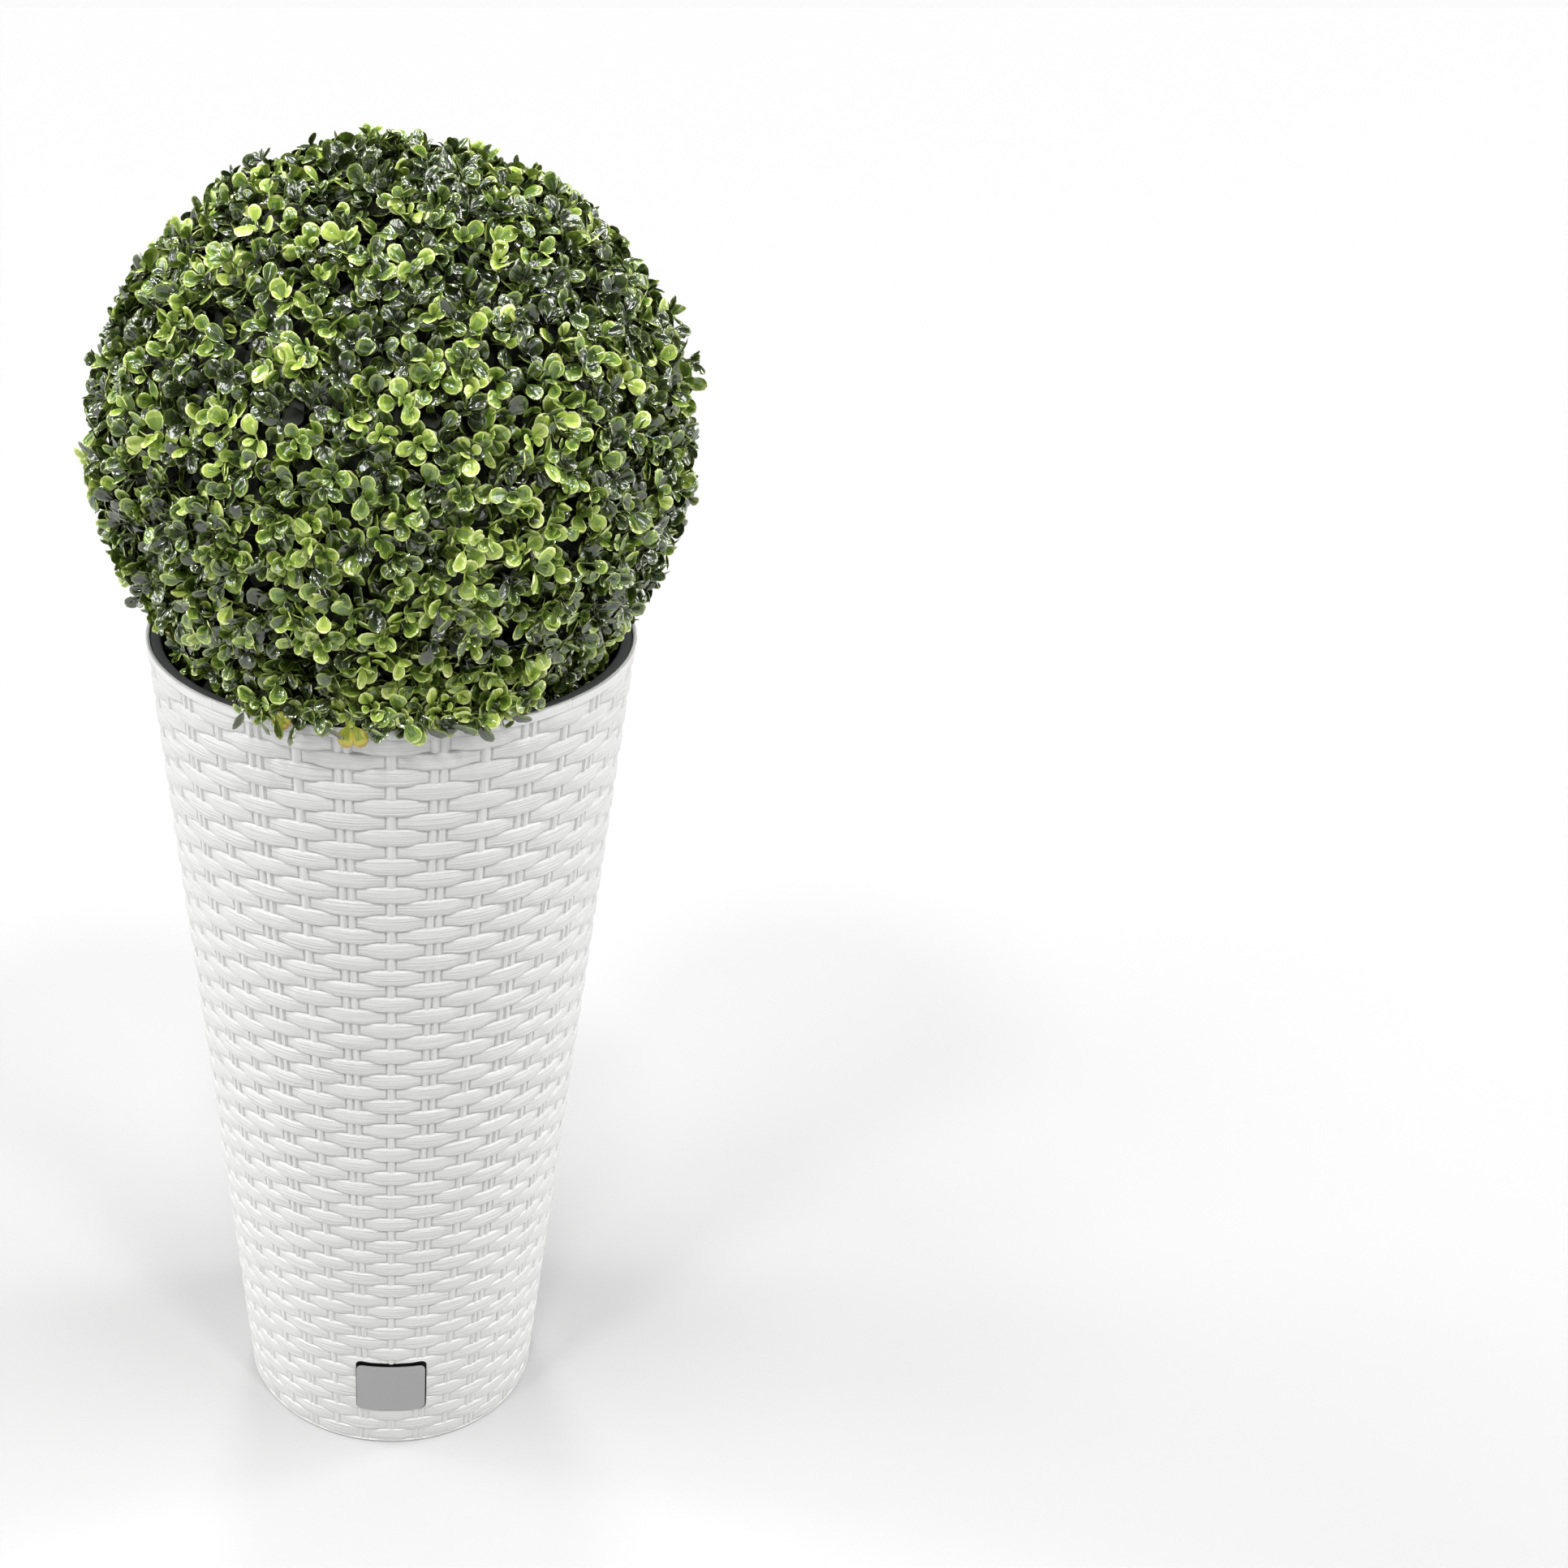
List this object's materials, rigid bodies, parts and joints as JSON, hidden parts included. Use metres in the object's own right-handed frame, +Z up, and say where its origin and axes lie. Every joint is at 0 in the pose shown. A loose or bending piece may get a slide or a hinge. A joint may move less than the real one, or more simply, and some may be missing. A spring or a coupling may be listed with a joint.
{
  "type": "artificial boxwood ball topiary in a tall planter",
  "caption": "Clipped artificial boxwood ball standing in a tall tapered planter with a moulded basket weave, an inner liner and a small plate low on its front.",
  "frame": {"origin": "centre of the planter's flat underside", "axes": "+Z up along the planter's axis through the ball, -Y towards the front, where the plate is, +X to the right as seen from the front"},
  "size_m": [0.4754, 0.4747, 1.1451],
  "materials": {
    "planter_white": "satin",
    "liner_charcoal": "matte",
    "fill_mulch": "matte",
    "stem_bark": "matte",
    "foliage_green": "satin",
    "plate_grey": "satin"
  },
  "bodies": {
    "root": {"planter_shell": "planter_white", "planter_liner": "liner_charcoal", "liner_fill": "fill_mulch", "stem": "stem_bark", "foliage_ball": "foliage_green", "indicator_plate": "plate_grey"}
  },
  "joints": []
}
